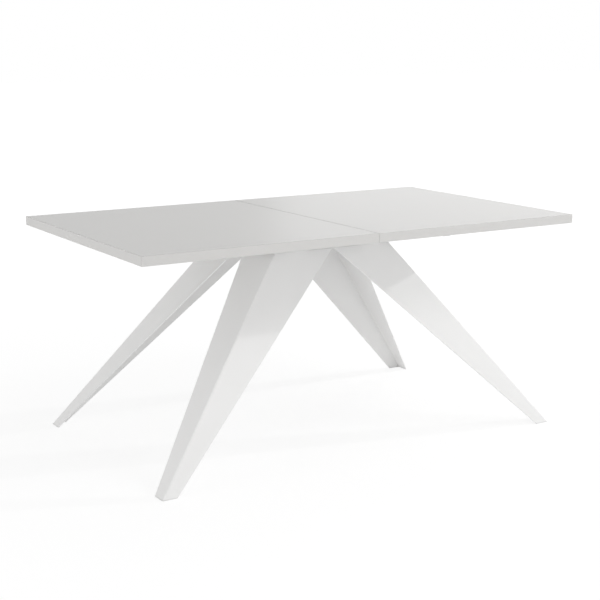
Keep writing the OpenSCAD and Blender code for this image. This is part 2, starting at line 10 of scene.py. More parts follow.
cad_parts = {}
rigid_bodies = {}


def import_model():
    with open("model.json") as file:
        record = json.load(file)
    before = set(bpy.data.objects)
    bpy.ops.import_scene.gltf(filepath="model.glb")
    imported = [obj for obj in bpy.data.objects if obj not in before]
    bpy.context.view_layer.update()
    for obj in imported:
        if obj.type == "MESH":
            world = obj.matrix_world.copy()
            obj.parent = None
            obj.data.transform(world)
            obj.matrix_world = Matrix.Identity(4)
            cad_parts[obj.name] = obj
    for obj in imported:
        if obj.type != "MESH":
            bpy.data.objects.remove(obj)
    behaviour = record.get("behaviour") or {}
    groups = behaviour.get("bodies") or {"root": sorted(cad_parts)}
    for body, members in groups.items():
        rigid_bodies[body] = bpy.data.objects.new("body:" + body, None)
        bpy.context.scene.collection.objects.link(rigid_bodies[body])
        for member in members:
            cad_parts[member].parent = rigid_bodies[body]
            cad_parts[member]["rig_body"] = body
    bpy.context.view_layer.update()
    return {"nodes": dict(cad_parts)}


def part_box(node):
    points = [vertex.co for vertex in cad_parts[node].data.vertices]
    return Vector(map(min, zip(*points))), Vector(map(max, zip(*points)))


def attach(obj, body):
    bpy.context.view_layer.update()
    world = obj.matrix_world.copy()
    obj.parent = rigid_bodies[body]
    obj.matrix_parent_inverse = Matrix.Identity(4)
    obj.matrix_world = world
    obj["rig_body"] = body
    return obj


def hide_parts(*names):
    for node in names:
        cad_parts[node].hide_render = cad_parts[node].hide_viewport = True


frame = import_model()

bl_info = {
    "name": "Extendable Dining Table",
    "version": (1, 0, 0),
    "blender": (4, 5, 0),
    "location": "3D View > Sidebar > Table",
    "description": "Finishes, fine details and studio for an extendable dining table",
    "category": "Object",
}

MM = 0.001
TURN = 2 * math.pi
FLAT = math.radians(0.5)      # faces that turn less than this are one flat face
CREASE = math.radians(35)     # edges that turn more than this stay sharp
SAME_POINT = 0.002 * MM       # points nearer to each other than this are one point
ON_PLANE = 0.01 * MM          # a point nearer to a plane than this lies on it
BOARD_EDGE = 20 * MM          # a board's own edges are longer than this, those of its bores are shorter
RAIL_EDGE = 400 * MM          # a rail's long edges are longer than this, its others are shorter
SEAM_REACH = 1 * MM           # the halves' seam faces lie nearer to the middle than this
QUARTERS = [f"{depth}_{side}" for depth in ("front", "back") for side in ("left", "right")]


# ---------- Sizes and colours ----------

def length(name, description, default):
    """A length in metres."""
    return bpy.props.FloatProperty(
        name=name, description=description, default=default, min=0, precision=5, unit="LENGTH")


def place(name, description, default):
    """A place in metres."""
    return bpy.props.FloatVectorProperty(
        name=name, description=description, default=default, size=3, unit="LENGTH")


def colour(name, description, default):
    """A linear colour."""
    return bpy.props.FloatVectorProperty(
        name=name, description=description, default=default, size=3, min=0, max=1, subtype="COLOR")


def angle(name, description, degrees):
    """An angle in radians, given in degrees."""
    return bpy.props.FloatProperty(
        name=name, description=description, default=math.radians(degrees), unit="ROTATION")


def power(name, description, default):
    """A lamp's power in watts."""
    return bpy.props.FloatProperty(
        name=name, description=description, default=default, min=0, unit="POWER")


def share(name, description, default):
    """A number from 0 to 1."""
    return bpy.props.FloatProperty(
        name=name, description=description, default=default, min=0, max=1)


class TableSizes(bpy.types.PropertyGroup):
    """Sizes of the fine details: roundings, glue lines, screws, welds and flutes."""
    band_round: length("Band corner", "Rounding of the edge bands' outer corners", 0.8 * MM)
    seam_round: length("Seam corner", "Rounding of the bands where two boards meet", 0.4 * MM)
    glue_width: length("Glue line", "Width of the glue line where boards and bands meet", 0.6 * MM)
    sheet_round: length("Sheet edge", "Rounding of the painted sheet's cut edges", 0.7 * MM)
    tube_round: length("Tube corner", "Outer radius of the frame tubes' corners", 1.2 * MM)
    zinc_round: length("Zinc edge", "Rounding of the stamped zinc plates' edges", 0.25 * MM)
    lever_round: length("Lever edge", "Rounding of the latch levers' edges", 0.5 * MM)
    nylon_round: length("Nylon edge", "Rounding of the moulded nylon pieces", 0.6 * MM)
    rubber_round: length("Rubber edge", "Rounding of the rubber buffers", 0.8 * MM)
    felt_round: length("Felt edge", "Rounding of the felt strips", 0.3 * MM)
    bolt_shank: length("Bolt shank", "Radius of the leg bolts' shanks", 4 * MM)
    channel_head: length("Channel screw head", "Height of the channel screws' heads", 1.4 * MM)
    wood_head: length("Wood screw head", "Height of the wood screws' heads", 2.2 * MM)
    weld_leg: length("Weld size", "Leg length of the fillet welds", 4 * MM)
    weld_pitch: length("Weld ripple", "Distance between the ripples of a weld", 2.8 * MM)
    flutes: bpy.props.IntProperty(
        name="Flutes", description="Number of grooves round a dowel", default=16, min=6, max=40)
    flute_depth: length("Flute depth", "Depth of the grooves in a dowel", 0.3 * MM)


class TableColours(bpy.types.PropertyGroup):
    """Base colours of the table's finishes."""
    board: colour("Board", "Satin white melamine of the boards", (0.658, 0.651, 0.637))
    chips: colour("Chipboard", "Raw particle board inside the bores", (0.55, 0.41, 0.26))
    glue: colour("Glue", "Hot-melt glue in the joints of boards and bands", (0.12, 0.115, 0.105))
    band: colour("Edge band", "Satin white edge band", (0.645, 0.638, 0.625))
    leg_paint: colour("Leg paint", "Satin white powder coat of the legs", (0.862, 0.859, 0.853))
    frame_paint: colour("Frame paint", "Matt white powder coat of the frame", (0.80, 0.80, 0.795))
    beech: colour("Beech", "Raw beech of the dowels", (0.64, 0.43, 0.25))
    nylon: colour("Nylon", "White nylon of glides and guides", (0.80, 0.80, 0.79))
    felt: colour("Felt", "Pressed felt", (0.10, 0.10, 0.11))
    rubber: colour("Rubber", "Black rubber of the buffers", (0.02, 0.02, 0.021))
    zinc: colour("Zinc", "Bright zinc plating", (0.66, 0.68, 0.70))
    runner: colour("Runner", "Rolled zinc-plated strip", (0.70, 0.71, 0.73))
    cage: colour("Cage", "Yellow passivated strip", (0.62, 0.52, 0.28))
    ball: colour("Ball", "Polished bearing steel", (0.78, 0.78, 0.80))
    lever: colour("Lever", "Black paint of the latch levers", (0.025, 0.025, 0.026))


class StudioSizes(bpy.types.PropertyGroup):
    """Camera, floor and lamps."""
    camera_place: place("Camera", "Place of the camera", (-2.2966, -3.7379, 1.3717))
    heading: angle("Heading", "Turn of the camera from the table's depth towards its right", 31.539)
    tilt: angle("Tilt", "Tilt of the camera below the horizon", 11.868)
    lens: bpy.props.FloatProperty(
        name="Lens", description="Focal length on a 36 mm wide sensor", default=76.51, min=20,
        unit="CAMERA")
    floor_size: length("Floor", "Width of the floor", 60)
    floor_white: share("Floor colour", "Brightness of the floor's matt white", 0.9)
    floor_shade: share("Shadow share", "Share of its own shading that the floor shows", 0.3)
    floor_level: share("Floor level", "Brightness of the matt floor where all lamps reach it", 0.66)
    shade_reach: length("Shadow reach", "Distance from the middle where the floor is plain white", 8)
    sky: share("Sky", "Strength of the even light from all round", 0.516)
    aim_height: length("Aim height", "Height over the floor that all the lamps face", 0.55)
    key_place: place("Key lamp", "Place of the small lamp far off on the right", (7.28, -1.73, 2.8))
    key_size: length("Key lamp size", "Width of the small lamp on the right", 0.1)
    key_power: power("Key lamp power", "Power of the small lamp on the right", 180)
    high_place: place("High panel", "Place of the high panel at the front right", (2.6, -2.5, 4))
    high_size: length("High panel size", "Width of the high panel at the front right", 1.6)
    high_power: power("High panel power", "Power of the high panel at the front right", 35)
    left_place: place("Left panel", "Place of the panel far off on the left", (-8.3, -0.9, 0.3))
    left_size: length("Left panel size", "Width of the panel on the left", 2.5)
    left_power: power("Left panel power", "Power of the panel on the left", 285)
    front_place: place("Front panel", "Place of the panel in front", (0.8, -5, 1))
    front_size: length("Front panel size", "Width of the panel in front", 2.5)
    front_power: power("Front panel power", "Power of the panel in front", 31)
    low_place: place("Low panel", "Place of the panel near the floor in front", (-1.2, -4.2, 0.25))
    low_size: length("Low panel size", "Width of the panel near the floor in front", 1.5)
    low_power: power("Low panel power", "Power of the panel near the floor in front", 24)
    right_place: place("Right panel", "Place of the panel at the back right", (4, 2.5, 1.5))
    right_size: length("Right panel size", "Width of the panel at the back right", 2.5)
    right_power: power("Right panel power", "Power of the panel at the back right", 27)
    gleam_place: place("Gleam panel", "Place of the panel that the top reflects", (3.2, 3.2, 1.2))
    gleam_size: length("Gleam panel size", "Width of the panel that the top reflects", 2.5)
    gleam_power: power("Gleam panel power", "Power of the panel that the top reflects", 12.5)


# ---------- Finishes ----------

class Socket:
    """A value in a finish. Arithmetic and comparison add Math nodes."""

    def __init__(self, finish, socket):
        self.finish = finish
        self.socket = socket

    def calculate(self, operation, first, second):
        return self.finish.node("ShaderNodeMath", {"operation": operation}, {0: first, 1: second})

    def __add__(self, other):
        return self.calculate("ADD", self, other)

    def __radd__(self, other):
        return self.calculate("ADD", other, self)

    def __sub__(self, other):
        return self.calculate("SUBTRACT", self, other)

    def __rsub__(self, other):
        return self.calculate("SUBTRACT", other, self)

    def __mul__(self, other):
        return self.calculate("MULTIPLY", self, other)

    def __rmul__(self, other):
        return self.calculate("MULTIPLY", other, self)

    def __abs__(self):
        return self.calculate("ABSOLUTE", self, 0)

    def __gt__(self, other):
        return self.calculate("GREATER_THAN", self, other)

    def at_least(self, limit):
        return self.calculate("MAXIMUM", self, limit)

    def at_most(self, limit):
        return self.calculate("MINIMUM", self, limit)


class Finish:
    """A material or world that is built node by node."""

    def __init__(self, owner):
        owner.use_nodes = True
        self.owner = owner
        self.tree = owner.node_tree
        self.tree.nodes.clear()

    def node(self, kind, settings=None, inputs=None, output=0):
        """Adds a node, sets it up, fills or links its inputs and returns one output."""
        made = self.tree.nodes.new(kind)
        for name, value in (settings or {}).items():
            setattr(made, name, value)
        for name, value in (inputs or {}).items():
            if isinstance(value, Socket):
                self.tree.links.new(value.socket, made.inputs[name])
            else:
                made.inputs[name].default_value = value
        return Socket(self, made.outputs[output]) if made.outputs else made

    def place(self, output="Object"):
        """Coordinates that stay on the piece when it moves."""
        return self.node("ShaderNodeTexCoord", output=output)

    def stretched(self, vector, scale):
        """A vector with each of its axes scaled."""
        return self.node("ShaderNodeVectorMath", {"operation": "MULTIPLY"}, {0: vector, 1: scale})

    def noise(self, scale, detail=2, stretch=(1, 1, 1), rough=0.5):
        """Soft noise from 0 to 1, whose scale is in lumps per metre."""
        return self.node("ShaderNodeTexNoise", None, {
            "Vector": self.stretched(self.place(), stretch),
            "Scale": scale, "Detail": detail, "Roughness": rough})

    def grains(self, scale, stretch=(1, 1, 1), output="Color"):
        """Random cells, whose scale is in cells per metre."""
        return self.node("ShaderNodeTexVoronoi", None, {
            "Vector": self.stretched(self.place(), stretch), "Scale": scale}, output)

    def mixed(self, share, first, second):
        """A colour between two others. Inputs 6 and 7 and output 2 are the node's colours."""
        return self.node("ShaderNodeMix", {"data_type": "RGBA"}, {0: share, 6: first, 7: second}, 2)

    def part(self, vector, axis):
        """One of a vector's three numbers."""
        return self.node("ShaderNodeSeparateXYZ", None, {0: vector}, axis)

    def bumped(self, height, depth):
        """Normals of a surface whose height runs from 0 to depth."""
        return self.node("ShaderNodeBump", None, {"Height": height, "Distance": depth})

    def surface(self, **inputs):
        """Ends a material in the Principled shader."""
        named = {name.replace("_", " "): value for name, value in inputs.items()}
        shader = self.node("ShaderNodeBsdfPrincipled", None, named)
        self.node("ShaderNodeOutputMaterial", None, {"Surface": shader})


def solid(rgb, level=1.0):
    """A colour with its alpha, at a share of its brightness."""
    return (*(level * part for part in rgb), 1)


def board_finish(finish, colours):
    """Satin melamine on the level faces, and particle board on cut edges and the walls of bores."""
    flat = abs(finish.part(finish.place("Normal"), 2)) > 0.5
    pearl = finish.noise(1100, 3)
    drift = finish.noise(2.5, 2)
    chips = finish.mixed(finish.grains(700, (1, 1, 2.5), "Distance"),
                         solid(colours.chips, 0.6), solid(colours.chips, 1.25))
    paper = finish.mixed(drift, solid(colours.board, 0.985), solid(colours.board, 1.012))
    finish.surface(
        Base_Color=finish.mixed(flat, chips, paper),
        Roughness=0.86 - flat * (0.46 + pearl * 0.06),
        Normal=finish.bumped(pearl, 0.05 * MM))


def band_finish(finish, colours):
    """Satin plastic band with fine drawing lines along it."""
    pearl = finish.noise(1100, 3)
    lines = finish.noise(900, 1, (0.05, 0.05, 1))
    finish.surface(
        Base_Color=finish.mixed(pearl, solid(colours.band, 0.985), solid(colours.band, 1.015)),
        Roughness=0.40 + pearl * 0.06,
        Normal=finish.bumped(pearl + lines * 0.5, 0.04 * MM))


def glue_finish(finish, colours):
    """Thin line of glue with a little dust in it."""
    dust = finish.noise(800, 3)
    finish.surface(
        Base_Color=finish.mixed(dust, solid(colours.glue, 0.7), solid(colours.glue, 1.4)),
        Roughness=0.7 + dust * 0.2)


def paint_finish(shade, gloss, peel):
    """Powder coat: even colour with the soft orange peel of a baked film."""
    def build(finish, colours):
        rgb = getattr(colours, shade)
        waves = finish.noise(420, 2)
        specks = finish.noise(2600, 2)
        cloud = finish.noise(6, 2)
        finish.surface(
            Base_Color=finish.mixed(cloud, solid(rgb, 0.985), solid(rgb, 1.01)),
            Roughness=gloss + specks * 0.05 + cloud * 0.03,
            Normal=finish.bumped(waves + specks * 0.15, peel))
    return build


def beech_finish(finish, colours):
    """Raw wood with pores and growth lines along each dowel."""
    fibre = finish.noise(900, 4, (0.08, 1, 1), 0.65)
    pores = finish.noise(3200, 1, (0.05, 1, 1))
    finish.surface(
        Base_Color=finish.mixed(fibre, solid(colours.beech, 0.72), solid(colours.beech, 1.2)),
        Roughness=0.62 + pores * 0.2,
        Normal=finish.bumped(fibre + pores, 0.06 * MM))


def nylon_finish(finish, colours):
    """Moulded nylon with a matt spark-eroded skin."""
    skin = finish.noise(2400, 2)
    cloud = finish.noise(60, 2)
    finish.surface(
        Base_Color=finish.mixed(cloud, solid(colours.nylon, 0.93), solid(colours.nylon, 1.06)),
        Roughness=0.48 + skin * 0.14,
        Normal=finish.bumped(skin, 0.03 * MM))


def felt_finish(finish, colours):
    """Pressed felt with loose fibres."""
    fibres = finish.noise(3500, 4, (1, 0.35, 1), 0.75)
    tufts = finish.noise(500, 3)
    finish.surface(
        Base_Color=finish.mixed(fibres, solid(colours.felt, 0.45), solid(colours.felt, 1.7)),
        Roughness=0.86 + tufts * 0.12,
        Normal=finish.bumped(fibres + tufts, 0.2 * MM))


def rubber_finish(finish, colours):
    """Matt rubber with a dusty bloom."""
    bloom = finish.noise(300, 3)
    finish.surface(
        Base_Color=finish.mixed(bloom, solid(colours.rubber, 0.8), solid(colours.rubber, 1.9)),
        Roughness=0.62 + bloom * 0.2,
        Normal=finish.bumped(finish.noise(2200, 2), 0.03 * MM))


def zinc_finish(finish, colours):
    """Zinc plate on stamped sheet: a fine crystalline bloom over faint rolling lines."""
    bloom = finish.part(finish.grains(260), 0)
    rolled = finish.noise(1500, 2, (0.03, 1, 1))
    finish.surface(
        Base_Color=finish.mixed(bloom, solid(colours.zinc, 0.9), solid(colours.zinc, 1.06)),
        Metallic=1.0,
        Roughness=0.27 + bloom * 0.08 + rolled * 0.08,
        Normal=finish.bumped(rolled + bloom * 0.2, 0.01 * MM))


def runner_finish(finish, colours):
    """Rolled strip with long drawing lines."""
    drawn = finish.noise(1900, 3, (0.006, 1, 1))
    cloud = finish.noise(35, 2, (0.3, 1, 1))
    finish.surface(
        Base_Color=finish.mixed(drawn, solid(colours.runner, 0.86), solid(colours.runner, 1.05)),
        Metallic=1.0,
        Roughness=0.22 + drawn * 0.12 + cloud * 0.06,
        Normal=finish.bumped(drawn, 0.012 * MM))


def cage_finish(finish, colours):
    """Yellow passivated strip whose film drifts between straw and green."""
    drift = finish.noise(45, 3)
    green = solid((colours.cage[0] * 0.75, colours.cage[1] * 1.02, colours.cage[2] * 1.1))
    finish.surface(
        Base_Color=finish.mixed(drift, green, solid(colours.cage, 1.1)),
        Metallic=1.0,
        Roughness=0.28 + finish.noise(1300, 2, (0.05, 1, 1)) * 0.14)


def ball_finish(finish, colours):
    """Ground and polished bearing steel with a thin film of grease."""
    grease = finish.noise(420, 3)
    finish.surface(
        Base_Color=finish.mixed(grease, solid(colours.ball, 0.88), solid(colours.ball, 1.0)),
        Metallic=1.0,
        Roughness=0.06 + grease * 0.12)


def lever_finish(finish, colours):
    """Black paint that is rubbed a little thin."""
    rub = finish.noise(90, 4)
    finish.surface(
        Base_Color=finish.mixed(rub, solid(colours.lever, 0.8), solid(colours.lever, 1.7)),
        Roughness=0.34 + rub * 0.16,
        Normal=finish.bumped(finish.noise(1800, 2), 0.02 * MM))


FINISHES = {
    "white_board": board_finish,
    "white_edge": band_finish,
    "glue_line": glue_finish,
    "white_leg_paint": paint_finish("leg_paint", 0.30, 0.06 * MM),
    "white_frame_paint": paint_finish("frame_paint", 0.44, 0.06 * MM),
    "beech": beech_finish,
    "nylon": nylon_finish,
    "felt": felt_finish,
    "rubber": rubber_finish,
    "zinc_plate": zinc_finish,
    "runner_steel": runner_finish,
    "cage_steel": cage_finish,
    "ball_steel": ball_finish,
    "black_lever": lever_finish,
}


def finish_named(slot):
    """The finished material of a slot, made when it is first asked for."""
    name = slot + "_finish"
    if name not in bpy.data.materials:
        FINISHES[slot](Finish(bpy.data.materials.new(name)), bpy.context.scene.table_colours)
    return bpy.data.materials[name]


# ---------- Shapes ----------

def slot_of(node):
    """The material slot that a node was packed with."""
    return frame["nodes"][node]["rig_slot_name"]


def body_of(node):
    """The body that a node rides on."""
    return frame["nodes"][node]["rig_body"]


def remember_slots():
    """Keeps each node's own slot name before its material is replaced."""
    for node in frame["nodes"].values():
        node["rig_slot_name"] = node.data.materials[0].name.split(".")[0]


def carried(*nodes):
    """Dresses nodes whose own shape is shown."""
    for name in nodes:
        node = frame["nodes"][name]
        node.data.materials[0] = finish_named(slot_of(name))


def welded(node):
    """A node's own shape, with each point there once."""
    shape = bmesh.new()
    shape.from_mesh(frame["nodes"][node].data)
    bmesh.ops.remove_doubles(shape, verts=shape.verts, dist=SAME_POINT)
    return shape


def shape_of(node):
    """A node's own shape, with each flat face in one piece."""
    shape = welded(node)
    bmesh.ops.dissolve_limit(shape, angle_limit=FLAT, verts=shape.verts, edges=shape.edges)
    return shape


def rounded(shape, radius, segments=2, wanted=None, material=-1):
    """Rounds the sharp outer edges, or those of them that are wanted."""
    sharp = [e for e in shape.edges if e.is_manifold and e.calc_face_angle_signed() > CREASE]
    edges = [e for e in sharp if wanted is None or wanted(e)]
    bmesh.ops.bevel(shape, geom=edges, offset=radius, offset_type="OFFSET", segments=segments,
                    profile=0.5, affect="EDGES", clamp_overlap=False, miter_outer="SHARP",
                    material=material)
    return shape


def piece(name, shape, body, slot, *nodes):
    """Makes a shape a piece of the table that rides on a body and stands for nodes."""
    for face in shape.faces:
        face.smooth = True
    for edge in shape.edges:
        edge.smooth = not (edge.is_manifold and edge.calc_face_angle() > CREASE)
    mesh = bpy.data.meshes.new(name)
    shape.to_mesh(mesh)
    shape.free()
    made = bpy.data.objects.new(name, mesh)
    bpy.context.scene.collection.objects.link(made)
    mesh.materials.append(finish_named(slot))
    weighted = made.modifiers.new("even flat faces", "WEIGHTED_NORMAL")
    weighted.keep_sharp = True
    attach(made, body)
    if nodes:
        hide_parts(*nodes)
    return made


def softened(node, radius, segments=2, wanted=None):
    """A piece with a node's shape and rounded edges."""
    shape = rounded(shape_of(node), radius, segments, wanted)
    return piece(node + "_skin", shape, body_of(node), slot_of(node), node)


def corners(points):
    """The lowest and the highest corner of the box round some points."""
    points = list(points)
    return (Vector(min(p[k] for p in points) for k in range(3)),
            Vector(max(p[k] for p in points) for k in range(3)))


def islands(node):
    """The lowest and highest corner of each separate solid in a node, sorted by place."""
    shape = welded(node)
    left = set(shape.verts)
    boxes = []
    while left:
        front = [left.pop()]
        found = list(front)
        while front:
            near = {e.other_vert(v) for v in front for e in v.link_edges} & left
            left -= near
            front = list(near)
            found += front
        boxes.append(corners(v.co for v in found))
    shape.free()
    return sorted(boxes, key=lambda box: tuple(round(x, 6) for x in box[0]))


def ring(shape, radius, height, count, matrix):
    """A ring of points; its radius and its height may depend on the angle."""
    points = []
    for k in range(count):
        turn = TURN * k / count
        r = radius(turn) if callable(radius) else radius
        z = height(turn) if callable(height) else height
        points.append(shape.verts.new(matrix @ Vector((r * math.cos(turn), r * math.sin(turn), z))))
    return points


def skin(shape, rings, closed=True):
    """Joins rings of points. A flat face closes the first ring, and the last one too if asked."""
    for lower, upper in zip(rings, rings[1:]):
        for k in range(len(lower)):
            after = (k + 1) % len(lower)
            shape.faces.new((lower[k], lower[after], upper[after], upper[k]))
    shape.faces.new(reversed(rings[0]))
    if closed:
        shape.faces.new(rings[-1])


def towards(point, axis):
    """A frame whose Z axis points along an axis."""
    return Matrix.Translation(point) @ Vector(axis).to_track_quat("Z", "Y").to_matrix().to_4x4()


def pan_head_screw(shape, seat, axis, head_r, head_h, shank_len):
    """Pan head with a cross recess, on a plain shank that goes the other way."""
    matrix = towards(seat, axis)
    count = 32
    shank_r = head_r / 2
    rim = [ring(shape, r * head_r, z * head_h, count, matrix)
           for r, z in ((1.0, 0.0), (1.0, 0.45), (0.94, 0.72), (0.82, 0.9), (0.66, 1.0))]
    shank = [ring(shape, r * shank_r, -z * shank_len, count, matrix)
             for r, z in ((0.1, 1.0), (1.0, 0.8), (1.0, 0.0))]
    skin(shape, shank + rim, closed=False)
    wing = 0.15 * head_r
    reach = 0.55 * head_r
    floor_h = 0.35 * head_h
    floor_share = 0.7
    arm = [Vector((wing, wing, 0)), Vector((wing, reach, 0)), Vector((-wing, reach, 0))]
    outline = [Matrix.Rotation(TURN * k / 4, 4, "Z") @ p for k in range(4) for p in arm]
    top = [shape.verts.new(matrix @ (p + Vector((0, 0, head_h)))) for p in outline]
    floor = [shape.verts.new(matrix @ (p * floor_share + Vector((0, 0, floor_h)))) for p in outline]
    edges = [shape.edges.new((top[k], top[(k + 1) % len(top)])) for k in range(len(top))]
    last = rim[-1]
    edges += [shape.edges.get((last[k], last[(k + 1) % count])) for k in range(count)]
    bmesh.ops.triangle_fill(shape, edges=edges, use_beauty=True)
    for k in range(len(top)):
        after = (k + 1) % len(top)
        shape.faces.new((top[k], floor[k], floor[after], top[after]))
    shape.faces.new(floor)


def hex_bolt(shape, seat, axis, corner_r, head_h, shank_r, shank_len):
    """Hexagon head with the turned chamfer on its corners, and a plain shank."""
    matrix = towards(seat, axis)
    count = 48
    flat_r = corner_r * math.cos(TURN / 12)
    face_r = 0.94 * flat_r
    seat_r = 0.97 * flat_r
    seat_h = 0.1 * head_h
    tip_r = 0.85 * shank_r
    tip_h = 0.15 * shank_r

    def hexagon(turn):
        return flat_r / math.cos(turn % (TURN / 6) - TURN / 12)

    def shoulder(turn):
        return head_h - (hexagon(turn) - face_r) * math.tan(TURN / 12)

    skin(shape, [
        ring(shape, tip_r, -shank_len, count, matrix),
        ring(shape, shank_r, -shank_len + tip_h, count, matrix),
        ring(shape, shank_r, 0, count, matrix),
        ring(shape, seat_r, 0, count, matrix),
        ring(shape, hexagon, seat_h, count, matrix),
        ring(shape, hexagon, shoulder, count, matrix),
        ring(shape, face_r, head_h, count, matrix),
    ])


def weld_bead(shape, start, end, away, side, sizes):
    """Rippled fillet in a corner under a flat face; it bulges down and away from a wall.

    The line is given for the back right quarter, and side mirrors it to its own quarter.
    The section is half way between a flat and a round fillet, in shares of the weld's size.
    """
    steps_per_ripple = 6
    swell = 0.04          # how much a ripple stands out
    end_size = 0.15       # how far the bead has grown where it starts
    in_wall = 0.1         # how deep its root lies in the wall
    in_face = 0.02        # how deep its upper side lies in the face over it
    arc_steps = 5
    arc = [(0, in_face), (1, in_face)]
    for step in range(1, arc_steps + 1):
        part = step / arc_steps
        turn = part * TURN / 4
        arc.append(((math.cos(turn) + 1 - part) / 2, -(math.sin(turn) + part) / 2))

    run = (end - start).length
    steps = max(2, round(run / (sizes.weld_pitch / steps_per_ripple)))
    mirror = Matrix.Diagonal((side.x, side.y, 1, 1))
    rings = []
    for k in range(steps + 1):
        along = run * k / steps
        ripple = 1 + swell * math.cos(TURN * along / sizes.weld_pitch)
        from_end = min(along, run - along) / sizes.weld_leg
        leg = sizes.weld_leg * ripple * math.sqrt(min(1, end_size + from_end))
        root = start.lerp(end, k / steps) - away * sizes.weld_leg * in_wall
        rings.append([shape.verts.new(mirror @ (root + away * leg * a + Vector((0, 0, leg * b))))
                      for a, b in arc])
    skin(shape, rings)
    bmesh.ops.recalc_face_normals(shape, faces=shape.faces)


# ---------- Operators: pieces of the table ----------

class PieceOperator:
    """What the operators that make pieces share."""
    bl_options = {"REGISTER", "UNDO"}

    def execute(self, context):
        self.build(context.scene.table_sizes)
        return {"FINISHED"}


class TABLE_OT_top(PieceOperator, bpy.types.Operator):
    """Make the boards of the halves and of the spare leaf, with their edge bands and glue lines"""
    bl_idname = "table.top"
    bl_label = "Top"

    def build(self, sizes):
        for part in ("left", "right", "leaf"):
            nodes = sorted(n for n in frame["nodes"]
                           if n.startswith(part) and n.endswith(("_panel", "_band", "_bands")))
            low, high = corners(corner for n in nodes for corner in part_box(n))
            for node in nodes:
                self.board(node, low, high, sizes)

    def board(self, node, low, high, sizes):
        """Rounds the board's corners, where two outer faces meet, and glues its joints, on one face."""
        def outer_faces(edge):
            """The axes of the outer faces that one of the board's own edges lies on."""
            if edge.calc_length() < BOARD_EDGE:
                return []
            return [k for k in range(3) for side in (low, high)
                    if all(abs(v.co[k] - side[k]) < ON_PLANE for v in edge.verts)]

        def at_seam(edge):
            """Whether an edge lies where a board meets the next one."""
            if node.startswith("leaf"):
                return 1 in outer_faces(edge)
            return 0 in outer_faces(edge) and abs(edge.verts[0].co.x) < SEAM_REACH

        def glued(edge):
            return len(outer_faces(edge)) == 1

        def seam_corner(edge):
            return len(outer_faces(edge)) == 2 and at_seam(edge)

        def outer_corner(edge):
            return len(outer_faces(edge)) == 2 and not at_seam(edge)

        shape = shape_of(node)
        rounded(shape, sizes.glue_width / 2, 1, glued, material=1)
        rounded(shape, sizes.seam_round, 4, seam_corner)
        rounded(shape, sizes.band_round, 3, outer_corner)
        made = piece(node + "_skin", shape, body_of(node), slot_of(node), node)
        made.data.materials.append(finish_named("glue_line"))


class TABLE_OT_dowels(PieceOperator, bpy.types.Operator):
    """Make the fluted dowels"""
    bl_idname = "table.dowels"
    bl_label = "Dowels"

    def build(self, sizes):
        for node in ("seam_dowels", "leaf_dowels"):
            shape = bmesh.new()
            for low, high in islands(node):
                self.dowel(shape, low, high, sizes)
            piece(node + "_fluted", shape, body_of(node), "beech", node)

    def dowel(self, shape, low, high, sizes):
        """Fluted pin with a nose at both ends, as long and thick as its box."""
        along = max(range(3), key=lambda k: high[k] - low[k])
        axis = Vector(k == along for k in range(3))
        size = high - low
        radius = size[(along + 1) % 3] / 2
        start = (low + high) / 2 - axis * size[along] / 2
        matrix = towards(start, axis)

        def fluted(turn):
            return radius - sizes.flute_depth * (0.5 + 0.5 * math.cos(sizes.flutes * turn))

        points_per_flute = 6
        count = points_per_flute * sizes.flutes
        nose = radius / 2
        short_nose = nose * 0.6
        blunt_end = radius * 0.7
        pointed_end = radius * 0.55
        skin(shape, [
            ring(shape, blunt_end, 0, count, matrix),
            ring(shape, fluted, short_nose, count, matrix),
            ring(shape, fluted, size[along] - nose, count, matrix),
            ring(shape, pointed_end, size[along], count, matrix),
        ])


class TABLE_OT_legs(PieceOperator, bpy.types.Operator):
    """Make the folded sheet legs with their head plates and welds"""
    bl_idname = "table.legs"
    bl_label = "Folded Legs"

    def build(self, sizes):
        for quarter in QUARTERS:
            softened("leg_" + quarter, sizes.sheet_round, 3)
            softened("head_plate_" + quarter, sizes.sheet_round, 2)
            self.weld(quarter, sizes)

    def weld(self, quarter, sizes):
        """Fillet weld where the two flanges meet the underside of the head plate."""
        low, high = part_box("leg_" + quarter)
        plate_low, plate_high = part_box("head_plate_" + quarter)
        side = Vector((math.copysign(1, low.x + high.x), math.copysign(1, low.y + high.y)))
        top = [v.co for v in frame["nodes"]["leg_" + quarter].data.vertices
               if abs(v.co.z - high.z) < ON_PLANE]
        # The free end of each flange reaches furthest towards the middle on its inner face.
        inner_y = abs(min(top, key=lambda p: abs(p.x)).y)
        inner_x = abs(min(top, key=lambda p: abs(p.y)).x)
        margin = 2 * sizes.weld_leg
        start_x = min(abs(plate_low.x), abs(plate_high.x)) + margin
        start_y = min(abs(plate_low.y), abs(plate_high.y)) + margin
        fold = Vector((inner_x, inner_y, high.z))
        shape = bmesh.new()
        weld_bead(shape, Vector((start_x, inner_y, high.z)), fold, Vector((0, -1, 0)), side, sizes)
        weld_bead(shape, Vector((inner_x, start_y, high.z)), fold, Vector((-1, 0, 0)), side, sizes)
        piece("weld_" + quarter, shape, "base", "white_leg_paint")


class TABLE_OT_glides(PieceOperator, bpy.types.Operator):
    """Make the nylon glides under the feet"""
    bl_idname = "table.glides"
    bl_label = "Foot Glides"

    def build(self, sizes):
        softened("foot_glides", sizes.nylon_round)


